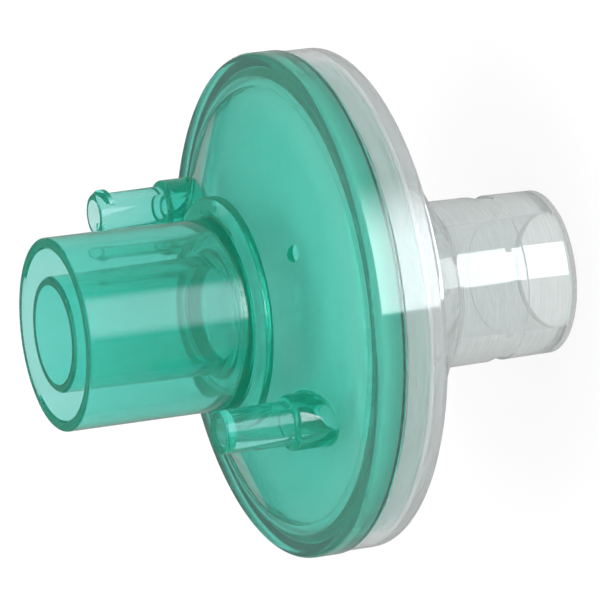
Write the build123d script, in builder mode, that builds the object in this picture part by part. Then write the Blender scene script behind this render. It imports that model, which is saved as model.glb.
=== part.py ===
from build123d import *
from math import cos, radians, sin, tan
import os

# Breathing circuit filter: a clear and a green moulded housing, welded at the rim,
# with a flat disc of filter medium clamped between them.
# The part stands on the open end of its clear port. Z is the flow axis, and X points
# from the axis to the open sampling port. Sizes are in millimetres.

# Conical connectors widen by 1 mm of diameter in 40 mm of length
cone_taper = 1 / 40

# Clear port, 22 mm male outside and 15 mm female inside
clear_port_end_d = 22.0
clear_port_length = 17.4
clear_socket_mouth_d = 15.47
clear_passage_d = 13.5
clear_passage_land = 0.56
port_lip_radius = 0.4
mouth_chamfer = 0.35

# Shallow ring recess round the clear port
recess_start = 7.2
recess_flat = 1.6
recess_ramp = 1.1
recess_depth = 0.3

# Clear housing: dome, rim and skirt
clear_wall = 1.7
clear_dome_angle = 32.6
clear_rim_d = 66.5
clear_brim_width = 2.2
clear_skirt_height = 5.8
clear_skirt_wall = 1.6
neck_fillet = 1.2
brim_fillet = 2.0
rim_edge_radius = 0.9

# Fins inside the clear dome that carry the medium
fin_count = 8
fin_thickness = 1.0
fin_inner_d = 20.0
fin_outer_gap = 0.8
fin_lean = 0.5
fin_root_share = 0.5

# Seam groove between the skirt and the green rim
seam_width = 0.35
seam_depth = 0.4

# Green housing: rim, dome and tongue
green_rim_lip = 0.25
green_rim_height = 4.0
green_wall = 1.7
green_brim_width = 3.35
green_dome_angle = 24.9
green_brim_fillet = 5.0
tongue_thickness = 1.1
tongue_clearance = 0.1
tongue_reach = 3.9

# Step ring at the root of the large port
step_ring_width = 2.75
step_ring_height = 1.1
step_edge_radius = 0.25
tube_root_fillet = 0.45

# Green port, 22 mm female socket round a 15 mm male tube
green_tube_d = 25.3
green_tube_length = 23.2
green_socket_mouth_d = 22.37
green_socket_floor_rise = 1.2
inner_tube_end_d = 15.22
inner_tube_bore_d = 13.0
inner_tube_root_fillet = 1.2
socket_corner_fillet = 0.6
bore_entry_radius = 0.85
chamber_corner_fillet = 1.7
tube_lip_radius = 0.35
tube_mouth_chamfer = 0.25
inner_tube_lip_radius = 0.3

# Sampling port and parking post, on opposite sides of the large port
side_port_shift = 0.425
side_port_end_d = 5.6
side_port_root_d = 5.9
side_port_height = 16.6
side_collar_d = 7.36
side_collar_height = 7.2
collar_land = 0.05
side_root_fillet = 0.5
side_port_lip_radius = 0.2
luer_mouth_d = 4.3
luer_taper = 0.06
luer_depth = 10.2
sampling_hole_d = 2.2
post_core_d = 3.7
post_end_wall = 1.6

# Two thread ears at the mouth of the sampling port
ear_span = 74.0
ear_height = 0.85
ear_root_width = 1.5
ear_tip_width = 0.6
ear_lead = 5.0
ear_setback = 0.5
ear_middle_angle = -78.5
ear_end_share = 0.35
ear_sink = 0.06
ear_section_count = 5

# Small round moulding mark on the green dome
mark_offset = 20.5
mark_angle = -120.5
mark_d = 2.2
mark_depth = 0.35
mark_cutter_height = 1.0

# Filter medium: pressed thin at its edge by the tongue
medium_thickness = 6.2
medium_edge_gap = 0.2
medium_bevel = 1.2

# Heights and radii that follow from the sizes above
neck_r = clear_port_end_d / 2 + clear_port_length * cone_taper / 2
clear_rim_r = clear_rim_d / 2
clear_slope = tan(radians(clear_dome_angle))
clear_brim_r = clear_rim_r - rim_edge_radius - clear_brim_width
clear_brim_z = clear_port_length + (clear_brim_r - neck_r) * clear_slope
skirt_inner_r = clear_rim_r - clear_skirt_wall
skirt_top_z = clear_brim_z + clear_skirt_height
ledge_z = clear_brim_z + clear_wall
clear_inner_rise = clear_wall / cos(radians(clear_dome_angle))

weld_z = skirt_top_z + seam_width
tongue_outer_r = skirt_inner_r - tongue_clearance
tongue_inner_r = tongue_outer_r - tongue_thickness
tongue_end_z = weld_z - tongue_reach
green_rim_r = clear_rim_r + green_rim_lip
green_brim_z = weld_z + green_rim_height
green_slope = tan(radians(green_dome_angle))
green_brim_r = green_rim_r - rim_edge_radius - green_brim_width
green_inner_drop = green_wall / cos(radians(green_dome_angle))
green_tube_r = green_tube_d / 2
step_ring_r = green_tube_r + step_ring_width
step_foot_z = green_brim_z + (green_brim_r - step_ring_r) * green_slope
step_top_z = step_foot_z + step_ring_height
green_end_z = step_top_z + green_tube_length
green_socket_depth = green_tube_length - green_socket_floor_rise
socket_floor_z = green_end_z - green_socket_depth
web_under_z = socket_floor_z - green_wall
side_port_offset = (step_ring_r + green_brim_r) / 2 + side_port_shift
side_end_z = green_brim_z + side_port_height
side_collar_z = green_brim_z + side_collar_height


def cone_radius(end_diameter, distance):
    """Radius of a male cone at a distance from its open end."""
    return end_diameter / 2 + distance * cone_taper / 2


def round_corner(sketch, radius, r, z):
    """Round the corner of a profile that lies nearest to a given point."""
    corner = sketch.vertices().sort_by_distance(Vector(r, z))[0]
    fillet(corner, radius=radius)


def radial_plane(angle):
    """Upright plane through the Z axis whose first direction points outward at an angle."""
    outward = (cos(radians(angle)), sin(radians(angle)), 0)
    sideways = (sin(radians(angle)), -cos(radians(angle)), 0)
    return Plane(origin=(0, 0, 0), x_dir=outward, z_dir=sideways)


def clear_dome_inside(r):
    """Height of the clear dome's inner face at a radius."""
    return clear_port_length + clear_inner_rise + (r - neck_r) * clear_slope


def green_dome_outside(r):
    """Height of the green dome's outer face at a radius."""
    return green_brim_z + (green_brim_r - r) * green_slope


# Clear housing
ledge_r = neck_r + (ledge_z - clear_port_length - clear_inner_rise) / clear_slope
recess_floor_z = recess_start + recess_flat
recess_end_z = recess_floor_z + recess_ramp
passage_r = clear_passage_d / 2
clear_socket_depth = clear_dome_inside(passage_r) - clear_passage_land
socket_end_r = clear_socket_mouth_d / 2 - clear_socket_depth * cone_taper / 2

with BuildPart() as clear_housing:
    with BuildSketch(Plane.XZ) as clear_profile:
        with BuildLine():
            Polyline(
                (passage_r, clear_socket_depth),
                (socket_end_r, clear_socket_depth),
                (clear_socket_mouth_d / 2, mouth_chamfer),
                (clear_socket_mouth_d / 2 + mouth_chamfer, 0),
                (clear_port_end_d / 2, 0),
                (cone_radius(clear_port_end_d, recess_start), recess_start),
                (cone_radius(clear_port_end_d, recess_start) - recess_depth, recess_start),
                (cone_radius(clear_port_end_d, recess_floor_z) - recess_depth, recess_floor_z),
                (cone_radius(clear_port_end_d, recess_end_z), recess_end_z),
                (neck_r, clear_port_length),
                (clear_brim_r, clear_brim_z),
                (clear_rim_r, clear_brim_z),
                (clear_rim_r, skirt_top_z),
                (clear_rim_r - seam_depth, skirt_top_z),
                (clear_rim_r - seam_depth, weld_z),
                (skirt_inner_r, weld_z),
                (skirt_inner_r, ledge_z),
                (ledge_r, ledge_z),
                (passage_r, clear_dome_inside(passage_r)),
                close=True,
            )
        make_face()
        round_corner(clear_profile, port_lip_radius, clear_port_end_d / 2, 0)
        round_corner(clear_profile, neck_fillet, neck_r, clear_port_length)
        round_corner(clear_profile, brim_fillet, clear_brim_r, clear_brim_z)
        round_corner(clear_profile, rim_edge_radius, clear_rim_r, clear_brim_z)
    revolve(axis=Axis.Z)

    # Fins stand on the dome and end level with the ledge
    fin_outer_r = ledge_r - fin_outer_gap
    fin_inner_r = fin_inner_d / 2
    fin_top_r = fin_inner_r + (ledge_z - clear_dome_inside(fin_inner_r)) * fin_lean
    fin_root = clear_wall * fin_root_share
    for fin in range(fin_count):
        with BuildSketch(radial_plane((fin + 0.5) * 360 / fin_count)):
            with BuildLine():
                Polyline(
                    (fin_inner_r, clear_dome_inside(fin_inner_r) - fin_root),
                    (fin_outer_r, clear_dome_inside(fin_outer_r) - fin_root),
                    (fin_outer_r, ledge_z),
                    (fin_top_r, ledge_z),
                    (fin_inner_r, clear_dome_inside(fin_inner_r)),
                    close=True,
                )
            make_face()
        extrude(amount=fin_thickness / 2, both=True)

clear_housing.part.label = "clear_housing"

# Green housing: the outside is built first, then the inside is cut away
with BuildPart() as green_housing:
    with BuildSketch(Plane.XZ) as green_profile:
        with BuildLine():
            Polyline(
                (0, tongue_end_z),
                (tongue_outer_r, tongue_end_z),
                (tongue_outer_r, weld_z),
                (green_rim_r, weld_z),
                (green_rim_r, green_brim_z),
                (green_brim_r, green_brim_z),
                (step_ring_r, step_foot_z),
                (step_ring_r, step_top_z),
                (green_tube_r, step_top_z),
                (green_tube_r, green_end_z),
                (0, green_end_z),
                close=True,
            )
        make_face()
        round_corner(green_profile, rim_edge_radius, green_rim_r, green_brim_z)
        round_corner(green_profile, green_brim_fillet, green_brim_r, green_brim_z)
        round_corner(green_profile, step_edge_radius, step_ring_r, step_top_z)
        round_corner(green_profile, tube_root_fillet, green_tube_r, step_top_z)
        round_corner(green_profile, tube_lip_radius, green_tube_r, green_end_z)
    revolve(axis=Axis.Z)

    # Collar and tube of the sampling port, and the same for the parking post
    side_profile_foot = green_brim_z - green_wall
    for side_x in (side_port_offset, -side_port_offset):
        side_plane = Plane(origin=(side_x, 0, 0), x_dir=(1, 0, 0), z_dir=(0, -1, 0))
        with BuildSketch(side_plane) as side_profile:
            with BuildLine():
                Polyline(
                    (0, side_profile_foot),
                    (side_collar_d / 2, side_profile_foot),
                    (side_collar_d / 2, side_collar_z),
                    (side_port_root_d / 2, side_collar_z),
                    (side_port_end_d / 2, side_end_z),
                    (0, side_end_z),
                    close=True,
                )
            make_face()
            shoulder_radius = (side_collar_d - side_port_root_d) / 2 - collar_land
            round_corner(side_profile, shoulder_radius, side_collar_d / 2, side_collar_z)
            round_corner(side_profile, side_port_lip_radius, side_port_end_d / 2, side_end_z)
        revolve(axis=Axis(side_plane.origin, (0, 0, 1)))

    # Round the corners where the two collars meet the dome
    collar_feet = green_housing.edges().filter_by(GeomType.BSPLINE)
    fillet(collar_feet, radius=side_root_fillet)

    # The chamber under the dome, and the bore of the inner tube
    ceiling_z = green_brim_z - green_wall
    ceiling_r = green_brim_r - (green_inner_drop - green_wall) / green_slope
    web_r = green_brim_r - (web_under_z + green_inner_drop - green_brim_z) / green_slope
    bore_r = inner_tube_bore_d / 2
    with BuildSketch(Plane.XZ) as chamber_profile:
        with BuildLine():
            Polyline(
                (0, tongue_end_z),
                (tongue_inner_r, tongue_end_z),
                (tongue_inner_r, ceiling_z),
                (ceiling_r, ceiling_z),
                (web_r, web_under_z),
                (bore_r, web_under_z),
                (bore_r, green_end_z),
                (0, green_end_z),
                close=True,
            )
        make_face()
        round_corner(chamber_profile, bore_entry_radius, bore_r, web_under_z)
        round_corner(chamber_profile, chamber_corner_fillet, web_r, web_under_z)
    revolve(axis=Axis.Z, mode=Mode.SUBTRACT)

    # The socket round the inner tube, open at the top and narrowing as a cone
    socket_mouth_r = green_socket_mouth_d / 2
    socket_floor_r = socket_mouth_r - green_socket_depth * cone_taper / 2
    inner_root_r = cone_radius(inner_tube_end_d, green_socket_depth)
    with BuildSketch(Plane.XZ) as socket_profile:
        with BuildLine():
            Polyline(
                (inner_root_r, socket_floor_z),
                (socket_floor_r, socket_floor_z),
                (socket_mouth_r, green_end_z - tube_mouth_chamfer),
                (socket_mouth_r + tube_mouth_chamfer, green_end_z),
                (inner_tube_end_d / 2 - inner_tube_lip_radius, green_end_z),
                (inner_tube_end_d / 2, green_end_z - inner_tube_lip_radius),
                close=True,
            )
        make_face()
        round_corner(socket_profile, inner_tube_root_fillet, inner_root_r, socket_floor_z)
        round_corner(socket_profile, socket_corner_fillet, socket_floor_r, socket_floor_z)
    revolve(axis=Axis.Z, mode=Mode.SUBTRACT)

    # Luer cone and fine hole of the sampling port
    luer_floor_z = side_end_z - luer_depth
    with BuildSketch(Plane.XZ) as luer_profile:
        with BuildLine():
            Polyline(
                (side_port_offset, ceiling_z),
                (side_port_offset + sampling_hole_d / 2, ceiling_z),
                (side_port_offset + sampling_hole_d / 2, luer_floor_z),
                (side_port_offset + (luer_mouth_d - luer_depth * luer_taper) / 2, luer_floor_z),
                (side_port_offset + luer_mouth_d / 2, side_end_z),
                (side_port_offset, side_end_z),
                close=True,
            )
        make_face()
    revolve(axis=Axis((side_port_offset, 0, 0), (0, 0, 1)), mode=Mode.SUBTRACT)

    # The parking post is cored from the chamber and closed at its end
    with BuildSketch(Plane.XY.offset(ceiling_z)):
        with Locations((-side_port_offset, 0)):
            Circle(post_core_d / 2)
    extrude(amount=side_end_z - post_end_wall - ceiling_z, mode=Mode.SUBTRACT)

    # Thread ears: each is a loft through sections that climb round the tube
    ear_foot_r = side_port_end_d / 2 - ear_sink
    for opposite in (0, 180):
        for section in range(ear_section_count):
            share = section / (ear_section_count - 1)
            angle = ear_middle_angle + opposite + (share - 0.5) * ear_span
            climb = (share - 0.5) * ear_span / 360 * ear_lead
            swell = ear_end_share + (1 - ear_end_share) * sin(radians(180 * share))
            ear_top_r = ear_foot_r + ear_height * swell
            ear_plane = Plane(
                origin=(side_port_offset, 0, side_end_z - ear_setback - ear_root_width / 2 + climb),
                x_dir=(cos(radians(angle)), sin(radians(angle)), 0),
                z_dir=(-sin(radians(angle)), cos(radians(angle)), 0),
            )
            with BuildSketch(ear_plane):
                with BuildLine():
                    Polyline(
                        (ear_foot_r, -ear_root_width / 2),
                        (ear_top_r, -ear_tip_width / 2),
                        (ear_top_r, ear_tip_width / 2),
                        (ear_foot_r, ear_root_width / 2),
                        close=True,
                    )
                make_face()
        loft()

    # Small round mark of the mould on the dome
    mark_plane = Plane(
        origin=(
            mark_offset * cos(radians(mark_angle)),
            mark_offset * sin(radians(mark_angle)),
            green_dome_outside(mark_offset) - mark_depth,
        )
    )
    with BuildSketch(mark_plane):
        Circle(mark_d / 2)
    extrude(amount=mark_cutter_height, mode=Mode.SUBTRACT)

green_housing.part.label = "green_housing"

# Filter medium: a flat pad with a pressed edge
medium_r = skirt_inner_r - medium_edge_gap
medium_edge_thickness = tongue_end_z - ledge_z
medium_top_r = tongue_inner_r - medium_edge_gap - medium_bevel
with BuildPart() as filter_medium:
    with BuildSketch(Plane.XZ) as medium_profile:
        with BuildLine():
            Polyline(
                (0, ledge_z),
                (medium_r, ledge_z),
                (medium_r, ledge_z + medium_edge_thickness),
                (medium_top_r + medium_bevel, ledge_z + medium_edge_thickness),
                (medium_top_r, ledge_z + medium_thickness),
                (0, ledge_z + medium_thickness),
                close=True,
            )
        make_face()
    revolve(axis=Axis.Z)

filter_medium.part.label = "filter_medium"

os.makedirs("parts", exist_ok=True)
for piece in (clear_housing, green_housing, filter_medium):
    export_step(piece.part, f"parts/{piece.part.label}.step")

print("clear dome meets its rim at", round(clear_brim_z, 2))
print("seam at", round(weld_z, 2))
print("overall height", round(green_end_z, 2))
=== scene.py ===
import bpy
from math import cos, radians, sin
from mathutils import Euler, Matrix, Vector, noise


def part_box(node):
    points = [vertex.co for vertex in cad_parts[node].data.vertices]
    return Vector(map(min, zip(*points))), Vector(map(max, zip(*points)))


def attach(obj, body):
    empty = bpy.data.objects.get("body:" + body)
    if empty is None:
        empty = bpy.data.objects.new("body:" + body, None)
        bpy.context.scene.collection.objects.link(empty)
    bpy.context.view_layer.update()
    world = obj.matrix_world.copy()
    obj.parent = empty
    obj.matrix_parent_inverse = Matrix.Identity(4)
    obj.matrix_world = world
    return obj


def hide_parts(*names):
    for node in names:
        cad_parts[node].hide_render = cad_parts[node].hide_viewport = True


# Breathing circuit filter, standing on the open end of its clear port.
# Lengths are in metres, in the part's own frame.
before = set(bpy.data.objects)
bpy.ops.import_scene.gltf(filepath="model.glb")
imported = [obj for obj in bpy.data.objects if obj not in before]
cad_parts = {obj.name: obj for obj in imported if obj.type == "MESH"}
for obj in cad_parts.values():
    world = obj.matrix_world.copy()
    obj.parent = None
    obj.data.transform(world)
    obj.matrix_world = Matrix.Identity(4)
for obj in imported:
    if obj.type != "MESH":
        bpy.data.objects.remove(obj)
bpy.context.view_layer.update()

scene = bpy.context.scene
MM = 0.001

# Light through many plastic walls needs long paths
scene.cycles.max_bounces = 32
scene.cycles.transmission_bounces = 32
scene.cycles.glossy_bounces = 12
scene.cycles.volume_bounces = 8


def add_object(name, data):
    """A new object in the scene."""
    added = bpy.data.objects.new(name, data)
    scene.collection.objects.link(added)
    return added


def mesh_object(name, points, faces, material):
    """A new mesh object of one material."""
    mesh = bpy.data.meshes.new(name)
    mesh.from_pydata(points, [], faces)
    mesh.materials.append(material)
    return add_object(name, mesh)


def new_material(name):
    """A material with an empty node tree, and its output node."""
    material = bpy.data.materials.new(name)
    material.use_nodes = True
    material.node_tree.nodes.clear()
    output = material.node_tree.nodes.new("ShaderNodeOutputMaterial")
    return material, material.node_tree, output


def add_node(tree, kind, **settings):
    """A node of a kind, with settings and input values by name."""
    node = tree.nodes.new(kind)
    for name, value in settings.items():
        if name in node.inputs:
            node.inputs[name].default_value = value
        else:
            setattr(node, name, value)
    return node


def calculate(tree, operation, *values):
    """The result of a Math node on plain numbers and on the outputs of other nodes."""
    node = add_node(tree, "ShaderNodeMath", operation=operation)
    for value, socket in zip(values, node.inputs):
        if isinstance(value, bpy.types.NodeSocket):
            tree.links.new(value, socket)
        else:
            socket.default_value = value
    return node.outputs["Value"]


def smooth_step(tree, value, start, end, low, high):
    """A level that goes smoothly from low to high as a value goes from start to end."""
    step = add_node(tree, "ShaderNodeMapRange", interpolation_type="SMOOTHSTEP")
    step.inputs["From Min"].default_value = start
    step.inputs["From Max"].default_value = end
    step.inputs["To Min"].default_value = low
    step.inputs["To Max"].default_value = high
    tree.links.new(value, step.inputs["Value"])
    return step.outputs["Result"]


def grain(tree, scale, detail):
    """Noise in the part's own coordinates."""
    place = add_node(tree, "ShaderNodeTexCoord")
    pattern = add_node(tree, "ShaderNodeTexNoise", Scale=scale, Detail=detail)
    tree.links.new(place.outputs["Object"], pattern.inputs["Vector"])
    return pattern.outputs["Fac"]


def add_bump(tree, surface, height, strength, distance):
    """Roughen a surface by a height."""
    bump = add_node(tree, "ShaderNodeBump", Strength=strength, Distance=distance)
    tree.links.new(height, bump.inputs["Height"])
    tree.links.new(bump.outputs["Normal"], surface.inputs["Normal"])


# Gloss plastic: a faint unevenness from the mould, and fine moulded lines that run round it.
# The lines lie where noise, squeezed along the flow axis, is low, and end between two levels of it.
PLASTIC_IOR = 1.5
MOULD_SCALE = 90.0
MOULD_DETAIL = 2.0
MOULD_STRENGTH = 0.02
MOULD_DEPTH = 0.2 * MM
LINE_SCALE = (30.0, 30.0, 1500.0)
LINE_DETAIL = 3.0
LINE_NOISE = (0.35, 0.65)


def clearness(tree, middle, rim, rim_start, rim_end, lines):
    """How clear a housing is: less so towards its rim and in its moulded lines."""
    place = add_node(tree, "ShaderNodeTexCoord")
    parts = add_node(tree, "ShaderNodeSeparateXYZ")
    squeeze = add_node(tree, "ShaderNodeMapping", Scale=LINE_SCALE)
    streaks = add_node(tree, "ShaderNodeTexNoise", Detail=LINE_DETAIL)
    tree.links.new(place.outputs["Object"], parts.inputs["Vector"])
    tree.links.new(place.outputs["Object"], squeeze.inputs["Vector"])
    tree.links.new(squeeze.outputs["Vector"], streaks.inputs["Vector"])
    height = smooth_step(tree, parts.outputs["Z"], rim_start, rim_end, 1.0 - middle, 1.0 - rim)
    depth = smooth_step(tree, streaks.outputs["Fac"], *LINE_NOISE, 1.0 - lines, 1.0)
    return calculate(tree, "MULTIPLY", height, depth)


def see_through_plastic(name, tint, roughness, body, absorption, haze):
    """Gloss plastic: light passes through it, deepens in colour on the way and scatters a little."""
    material, tree, output = new_material(name)
    surface = add_node(tree, "ShaderNodeBsdfPrincipled", Roughness=roughness, IOR=PLASTIC_IOR)
    surface.inputs["Base Color"].default_value = (*tint, 1)
    tree.links.new(clearness(tree, **body), surface.inputs["Transmission Weight"])
    add_bump(tree, surface, grain(tree, MOULD_SCALE, MOULD_DETAIL), MOULD_STRENGTH, MOULD_DEPTH)
    absorb = add_node(tree, "ShaderNodeVolumeAbsorption", Density=absorption["density"])
    absorb.inputs["Color"].default_value = (*absorption["colour"], 1)
    scatter = add_node(tree, "ShaderNodeVolumeScatter", Density=haze["density"])
    scatter.inputs["Color"].default_value = (*haze["colour"], 1)
    depth = add_node(tree, "ShaderNodeAddShader")
    tree.links.new(absorb.outputs["Volume"], depth.inputs[0])
    tree.links.new(scatter.outputs["Volume"], depth.inputs[1])
    tree.links.new(surface.outputs["BSDF"], output.inputs["Surface"])
    tree.links.new(depth.outputs["Shader"], output.inputs["Volume"])
    return material


# Fleece of the filter medium
FLEECE_DARK = (0.80, 0.81, 0.79, 1)
FLEECE_LIGHT = (0.90, 0.90, 0.89, 1)
FLEECE_ROUGHNESS = 0.9
FLEECE_SCALE = 900.0
FLEECE_DETAIL = 4.0
FLEECE_STRENGTH = 0.35
FLEECE_DEPTH = 0.3 * MM


def fleece(name):
    """White nonwoven fibre, matt, with a fine felted surface."""
    material, tree, output = new_material(name)
    surface = add_node(tree, "ShaderNodeBsdfPrincipled", Roughness=FLEECE_ROUGHNESS)
    fibre = grain(tree, FLEECE_SCALE, FLEECE_DETAIL)
    ramp = add_node(tree, "ShaderNodeValToRGB")
    ramp.color_ramp.elements[0].color = FLEECE_DARK
    ramp.color_ramp.elements[1].color = FLEECE_LIGHT
    tree.links.new(fibre, ramp.inputs["Fac"])
    tree.links.new(ramp.outputs["Color"], surface.inputs["Base Color"])
    add_bump(tree, surface, fibre, FLEECE_STRENGTH, FLEECE_DEPTH)
    tree.links.new(surface.outputs["BSDF"], output.inputs["Surface"])
    return material


def set_material(node, material):
    """Give a CAD node's own object one material."""
    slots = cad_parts[node].data.materials
    slots.clear()
    slots.append(material)


# The body of a plastic is its milky share, in the middle, at the rim and in the moulded lines.
# It goes from the middle's share to the rim's between the heights rim_start and rim_end.
green = see_through_plastic(
    "green_plastic",
    tint=(0.8, 1.0, 0.98),
    roughness=0.04,
    body={
        "middle": 0.0,
        "rim": 0.05,
        "rim_start": 42.0 * MM,
        "rim_end": 38.5 * MM,
        "lines": 0.01,
    },
    absorption={"colour": (0.0, 0.88, 0.78), "density": 440.0},
    haze={"colour": (0.2, 1.0, 0.9), "density": 90.0},
)
clear = see_through_plastic(
    "clear_plastic",
    tint=(0.95, 1.0, 0.99),
    roughness=0.03,
    body={
        "middle": 0.04,
        "rim": 0.14,
        "rim_start": 24.0 * MM,
        "rim_end": 30.0 * MM,
        "lines": 0.12,
    },
    absorption={"colour": (0.30, 0.33, 0.33), "density": 8.0},
    haze={"colour": (1.0, 1.0, 1.0), "density": 60.0},
)
white = fleece("filter_fleece")
set_material("green_housing", green)
set_material("clear_housing", clear)

# Filter pad: felted fibre, thick in the middle, with a soft shoulder and a thin pressed edge
PAD_EDGE = 0.5 * MM
PAD_CLAMPED = 1.4 * MM
PAD_SHOULDER = 1.6 * MM
SHOULDER_FULLNESS = 0.6
PAD_TURNS = 192
PAD_RINGS = 56
SHOULDER_RINGS = 10

# How deep the felt's surface dips, as a middle share and the shares of its lumps and fibres.
# The fibres come from another layer of the noise than the lumps.
PAD_SINK = 0.3 * MM
MIDDLE_SHARE = 0.5
LUMP_SIZE = 6.0 * MM
LUMP_SHARE = 0.3
FIBRE_SIZE = 1.2 * MM
FIBRE_SHARE = 0.2
FIBRE_LAYER = 5.0


def felt_sink(x, y):
    """How far the felt lies below its full thickness at a place."""
    lumps = noise.noise(Vector((x / LUMP_SIZE, y / LUMP_SIZE, 0.0)))
    fibres = noise.noise(Vector((x / FIBRE_SIZE, y / FIBRE_SIZE, FIBRE_LAYER)))
    return PAD_SINK * (MIDDLE_SHARE + LUMP_SHARE * lumps + FIBRE_SHARE * fibres)


def circle(radius):
    """Places evenly spaced round a circle, as many as each ring of the pad has."""
    angles = [radians(360 * k / PAD_TURNS) for k in range(PAD_TURNS)]
    return [(radius * cos(angle), radius * sin(angle)) for angle in angles]


def pad_upper_rings(edge_r, flat_r, rise):
    """Radius and height above the edge of each ring of the pad's upper side, from the middle out."""
    rings = [(flat_r * i / PAD_RINGS, rise) for i in range(1, PAD_RINGS + 1)]
    for i in range(1, SHOULDER_RINGS + 1):
        turn = radians(90 * i / SHOULDER_RINGS)
        rings.append((flat_r + PAD_SHOULDER * sin(turn), rise * cos(turn) ** SHOULDER_FULLNESS))
    rings.append((edge_r, 0.0))
    return rings


def ring_faces(rings, last_point):
    """Faces between rings of points, closed by a point in the middle of each side."""
    faces = []
    last_ring = 1 + (rings - 1) * PAD_TURNS
    for k in range(PAD_TURNS):
        after = (k + 1) % PAD_TURNS
        faces.append((0, 1 + k, 1 + after))
        for start in range(1, last_ring, PAD_TURNS):
            outer = start + PAD_TURNS
            faces.append((start + k, outer + k, outer + after, start + after))
        faces.append((last_ring + k, last_point, last_ring + after))
    return faces


def felt_pad(name, node):
    """A felted disc in the space of a node, with its upper side raised inside its edge."""
    low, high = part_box(node)
    edge_z = low[2] + PAD_EDGE
    rise = high[2] - edge_z
    edge_r = (high[0] - low[0]) / 2
    flat_r = edge_r - PAD_CLAMPED - PAD_SHOULDER
    upper_rings = pad_upper_rings(edge_r, flat_r, rise)
    under_radii = (edge_r, flat_r, flat_r / 2)
    points = [(0, 0, high[2] - felt_sink(0, 0))]
    for radius, height in upper_rings:
        for x, y in circle(radius):
            points.append((x, y, edge_z + height - felt_sink(x, y) * height / rise))
    for radius in under_radii:
        points += [(x, y, low[2]) for x, y in circle(radius)]
    points.append((0, 0, low[2]))
    faces = ring_faces(len(upper_rings) + len(under_radii), len(points) - 1)
    felt = mesh_object(name, points, faces, white)
    felt.data.shade_smooth()
    return felt


pad = felt_pad("felt_pad", "filter_medium")
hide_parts("filter_medium")
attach(pad, "root")

# Camera, at the view of the photograph: narrow, from above the green port, and rolled so that
# the flow axis runs from the left of the picture to the right. The angles are in degrees, and
# azimuth and elevation point from the part to the camera.
VIEW_AZIMUTH = -138.58
VIEW_ELEVATION = 22.93
VIEW_ROLL = -97.45
VIEW_LENS = 302.67
VIEW_SENSOR = 36.0
VIEW_NEAR = 0.01
CAMERA_PLACE = Vector((-459.3, -405.7, 294.7)) * MM

camera_data = bpy.data.cameras.new("camera")
camera_data.lens = VIEW_LENS
camera_data.sensor_width = VIEW_SENSOR
camera_data.clip_start = VIEW_NEAR
camera = add_object("camera", camera_data)
look = Euler((radians(90 - VIEW_ELEVATION), 0, radians(VIEW_AZIMUTH + 90)), "XYZ").to_matrix()
roll = Matrix.Rotation(radians(VIEW_ROLL), 3, "Z")
camera.matrix_world = Matrix.Translation(CAMERA_PLACE) @ (look @ roll).to_4x4()
scene.camera = camera

# Lamp: a large square one overhead, aimed at the middle of the part. Gloss doesn't see it.
LAMP_PLACE = Vector((-0.3, -0.3, 1.0))
LAMP_TARGET = Vector((0, 0, 0.035))
LAMP_SIZE = 1.0
LAMP_POWER = 9.0

lamp_data = bpy.data.lights.new("top", "AREA")
lamp_data.shape = "SQUARE"
lamp_data.size = LAMP_SIZE
lamp_data.energy = LAMP_POWER
lamp = add_object("top", lamp_data)
lamp.location = LAMP_PLACE
lamp.rotation_euler = (LAMP_TARGET - LAMP_PLACE).to_track_quat("-Z", "Y").to_euler()
lamp.visible_glossy = False

# Floor: a white sheet in the camera's view, a shade darker through the plastic and darker
# still in its gloss. The paint's share of the camera's view carries the part's soft shadow.
FLOOR_SIZE = 6.0
PAINT_COLOUR = (0.9, 0.9, 0.9, 1)
PAINT_SHARE = 0.12
SHEET_WHITE = 1.0
SHEET_THROUGH = 0.8
SHEET_GLOSS = 0.4


def floor_paint():
    """White paint that the camera, gloss and clear plastic see as an even sheet."""
    material, tree, output = new_material("floor_white")
    paint = add_node(tree, "ShaderNodeBsdfDiffuse", Color=PAINT_COLOUR)
    sheet = add_node(tree, "ShaderNodeEmission")
    mix = add_node(tree, "ShaderNodeMixShader")
    path = add_node(tree, "ShaderNodeLightPath")
    camera_ray = path.outputs["Is Camera Ray"]
    gloss_ray = path.outputs["Is Glossy Ray"]
    through_ray = path.outputs["Is Transmission Ray"]
    # A ray through clear plastic counts as gloss too, so it adds only the difference
    level = calculate(tree, "MULTIPLY", gloss_ray, SHEET_GLOSS)
    level = calculate(tree, "MULTIPLY_ADD", through_ray, SHEET_THROUGH - SHEET_GLOSS, level)
    level = calculate(tree, "MULTIPLY_ADD", camera_ray, SHEET_WHITE, level)
    share = calculate(tree, "MULTIPLY", camera_ray, 1.0 - PAINT_SHARE)
    share = calculate(tree, "MAXIMUM", gloss_ray, share)
    tree.links.new(level, sheet.inputs["Strength"])
    tree.links.new(share, mix.inputs[0])
    tree.links.new(paint.outputs["BSDF"], mix.inputs[1])
    tree.links.new(sheet.outputs["Emission"], mix.inputs[2])
    tree.links.new(mix.outputs["Shader"], output.inputs["Surface"])
    return material


bpy.ops.mesh.primitive_plane_add(size=FLOOR_SIZE, location=(0, 0, 0))
floor = bpy.context.object
floor.name = "floor"
floor.data.materials.append(floor_paint())

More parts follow.
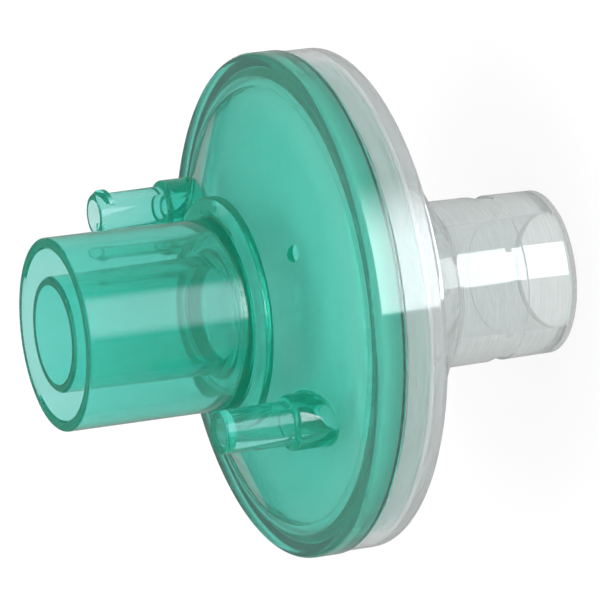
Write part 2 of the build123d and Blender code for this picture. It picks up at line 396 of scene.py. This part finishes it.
# Reflector cards on the floor: only gloss sees them, as bright bands along the upright walls.
# Each card covers what the camera sees mirrored by one wall, which has a radius, a row of
# heights and two directions that it faces, in degrees. fades are the shares of the card's
# width over which its light fades at its two sides.
CARD_HEIGHT = 0.2 * MM
CARD_STEPS = 16
PORT_CARD = {
    "radius": 11.0 * MM,
    "heights": (1.0 * MM, 17.0 * MM),
    "facing": (-144.0, -119.0),
    "glow": 12.0,
    "colour": (0.93, 0.98, 1.0),
    "fades": (0.06, 0.06),
}
RIM_CARD = {
    "radius": 33.25 * MM,
    "heights": (28.0 * MM, 36.0 * MM, 43.0 * MM),
    "facing": (-144.0, -112.0),
    "glow": 12.0,
    "colour": (0.9, 0.96, 1.0),
    "fades": (0.04, 0.55),
}
TUBE_CARD = {
    "radius": 12.65 * MM,
    "heights": (46.0 * MM, 60.0 * MM, 72.0 * MM),
    "facing": (-147.0, -117.0),
    "glow": 5.0,
    "colour": (0.75, 0.85, 1.0),
    "fades": (0.25, 0.25),
}


def mirrored_spot(radius, height, direction):
    """Where the camera's view of a wall, mirrored by that wall, meets the floor."""
    outward = Vector((cos(radians(direction)), sin(radians(direction)), 0))
    start = outward * radius + Vector((0, 0, height))
    bounce = (start - CAMERA_PLACE).normalized().reflect(outward)
    spot = start - bounce * (start.z / bounce.z)
    return (spot.x, spot.y, CARD_HEIGHT)


def card_glow(name, glow, colour, fades):
    """Light that fades towards the two sides of a card."""
    material, tree, output = new_material(name)
    light = add_node(tree, "ShaderNodeEmission")
    light.inputs["Color"].default_value = (*colour, 1)
    place = add_node(tree, "ShaderNodeTexCoord")
    parts = add_node(tree, "ShaderNodeSeparateXYZ")
    tree.links.new(place.outputs["UV"], parts.inputs["Vector"])
    across = parts.outputs["X"]
    near_fade = smooth_step(tree, across, 0.0, fades[0], 0.0, 1.0)
    far_fade = smooth_step(tree, across, 1.0, 1.0 - fades[1], 0.0, 1.0)
    fade = calculate(tree, "MULTIPLY", near_fade, far_fade)
    level = calculate(tree, "MULTIPLY", fade, glow)
    tree.links.new(level, light.inputs["Strength"])
    tree.links.new(light.outputs["Emission"], output.inputs["Surface"])
    return material


def reflector_card(name, radius, heights, facing, glow, colour, fades):
    """A flat card with a row of corners for each height of the wall that mirrors it."""
    first, last = facing
    directions = [first + (last - first) * i / CARD_STEPS for i in range(CARD_STEPS + 1)]
    corners = []
    for height in heights:
        corners += [mirrored_spot(radius, height, direction) for direction in directions]
    width = len(directions)
    faces = []
    for row_start in range(0, len(corners) - width, width):
        for corner in range(row_start, row_start + CARD_STEPS):
            faces.append((corner, corner + 1, corner + 1 + width, corner + width))
    card = mesh_object(name, corners, faces, card_glow(name, glow, colour, fades))
    across = card.data.uv_layers.new(name="across")
    for loop in card.data.loops:
        across.data[loop.index].uv = (loop.vertex_index % width / CARD_STEPS, 0.0)
    card.visible_camera = False
    card.visible_diffuse = False
    card.visible_transmission = False
    card.visible_volume_scatter = False
    card.visible_shadow = False


reflector_card("port_card", **PORT_CARD)
reflector_card("rim_card", **RIM_CARD)
reflector_card("tube_card", **TUBE_CARD)

# World: white, but dim in gloss. There it has one level at the horizon and one overhead, and
# rises from one to the other where a direction's upward part is between two values.
SKY_WHITE = 1.0
SKY_LEVEL = (0.08, 0.2)
SKY_RISE = (0.1, 0.3)


def studio_world():
    """A world that only gloss sees as dim."""
    world = bpy.data.worlds.new("studio")
    world.use_nodes = True
    tree = world.node_tree
    sky = tree.nodes["Background"]
    sky.inputs["Color"].default_value = (1, 1, 1, 1)
    way = add_node(tree, "ShaderNodeTexCoord")
    parts = add_node(tree, "ShaderNodeSeparateXYZ")
    path = add_node(tree, "ShaderNodeLightPath")
    tree.links.new(way.outputs["Generated"], parts.inputs["Vector"])
    dim = smooth_step(tree, parts.outputs["Z"], *SKY_RISE, *SKY_LEVEL)
    no_gloss = calculate(tree, "SUBTRACT", 1.0, path.outputs["Is Glossy Ray"])
    bright = calculate(tree, "MAXIMUM", no_gloss, path.outputs["Is Transmission Ray"])
    choice = add_node(tree, "ShaderNodeMix", B=SKY_WHITE)
    tree.links.new(bright, choice.inputs["Factor"])
    tree.links.new(dim, choice.inputs["A"])
    tree.links.new(choice.outputs["Result"], sky.inputs["Strength"])
    return world


scene.world = studio_world()
scene.view_settings.view_transform = "Standard"
